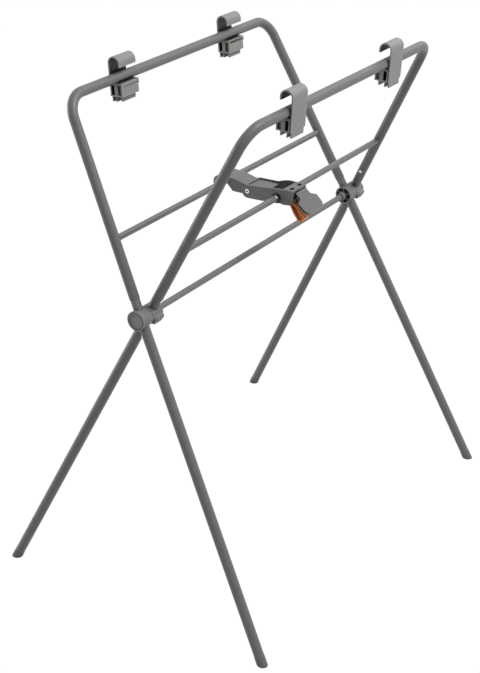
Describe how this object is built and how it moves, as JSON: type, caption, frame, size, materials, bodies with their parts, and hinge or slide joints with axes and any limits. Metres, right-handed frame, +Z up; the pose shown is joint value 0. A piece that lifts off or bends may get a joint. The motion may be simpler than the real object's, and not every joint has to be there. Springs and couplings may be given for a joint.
{
  "type": "baby bath stand",
  "caption": "Folding stand of bent tube for a baby bath: two frames cross at hubs, a hinged brace with a squeeze grip holds them open, and hook clips take the rim.",
  "frame": {"origin": "on the floor, at the middle of the box round the open stand", "axes": "X across the stand from frame A's top bar to frame B's, Y along the folding axis with the near side at -Y, Z up"},
  "size_m": [0.5674, 0.8386, 0.9105],
  "materials": {
    "leg_tube": "satin powder coat",
    "bar_tube": "satin powder coat",
    "hub": "moulded, fine grain",
    "hub_cap": "moulded, fine grain",
    "washer": "moulded",
    "bright_steel": "zinc plated",
    "spring_steel": "drawn wire",
    "foot": "matt",
    "hook": "moulded, fine grain",
    "cradle": "moulded, fine grain",
    "arm": "moulded, fine grain",
    "channel": "moulded, fine grain",
    "bush": "moulded",
    "collar": "moulded",
    "grip": "moulded, fine grain",
    "trigger": "moulded"
  },
  "bodies": {
    "frame_a": {"upper_tube_a": "leg_tube", "lower_tube_a_near": "leg_tube", "lower_tube_a_far": "leg_tube", "crossbar_a": "bar_tube", "hub_bar": "bar_tube", "hub_half_a_near": "hub", "hub_half_a_far": "hub", "hub_washers": "washer", "pivot_bolts": "bright_steel", "hub_cap_near": "hub_cap", "tube_rivets_a": "bright_steel", "foot_a_near": "foot", "foot_a_far": "foot", "clip_hook_a_near": "hook", "clip_hook_a_far": "hook", "clip_cradle_a_near": "cradle", "clip_cradle_a_far": "cradle", "clip_screws_a": "bright_steel"},
    "frame_b": {"upper_tube_b": "leg_tube", "lower_tube_b_near": "leg_tube", "lower_tube_b_far": "leg_tube", "crossbar_b": "bar_tube", "hub_half_b_near": "hub", "hub_half_b_far": "hub", "hub_cap_far": "hub_cap", "tube_rivets_b": "bright_steel", "foot_b_near": "foot", "foot_b_far": "foot", "clip_hook_b_near": "hook", "clip_hook_b_far": "hook", "clip_cradle_b_near": "cradle", "clip_cradle_b_far": "cradle", "clip_screws_b": "bright_steel", "bar_rivets": "bright_steel", "lock_collar": "collar"},
    "handle": {"brace_channel": "channel", "knee_rivet": "bright_steel", "crossbar_bushes": "bush", "grip_upper": "grip", "grip_lower": "grip", "grip_screws": "bright_steel", "trigger_pin": "bright_steel", "trigger_spring": "spring_steel"},
    "brace_arm": {"brace_arm": "arm"},
    "trigger": {"trigger": "trigger"},
    "lock_pawl": {"lock_pawl": "bright_steel"}
  },
  "joints": [
    {"name": "fold", "type": "hinge", "parent": "frame_a", "child": "frame_b", "pos_m": [0, -0.00483, 0.544], "axis": [0, -1, 0], "range_deg": [0, 45]},
    {"name": "handle_swing", "type": "hinge", "parent": "frame_b", "child": "handle", "pos_m": [0.05977, -0.01683, 0.66281], "axis": [0, 1, 0], "range_deg": [0, 103.3]},
    {"name": "knee", "type": "hinge", "parent": "handle", "child": "brace_arm", "pos_m": [0, -0.01683, 0.66281], "axis": [0, -1, 0], "range_deg": [0, 161.4]},
    {"name": "trigger_squeeze", "type": "hinge", "parent": "handle", "child": "trigger", "pos_m": [0.08377, -0.01683, 0.67281], "axis": [0, -1, 0], "range_deg": [0, 8], "stiffness_Nm_per_rad": 0.05, "springref_deg": -114.59},
    {"name": "pawl_slide", "type": "slide", "parent": "handle", "child": "lock_pawl", "axis": [1, 0, 0], "range_m": [0, 0.0015]}
  ],
  "couplings": [
    {"joint": "handle_swing", "follows": "fold", "ratio": 2.2914},
    {"joint": "knee", "follows": "fold", "ratio": 3.5827},
    {"joint": "pawl_slide", "follows": "trigger_squeeze", "m_per_rad": 0.01}
  ]
}
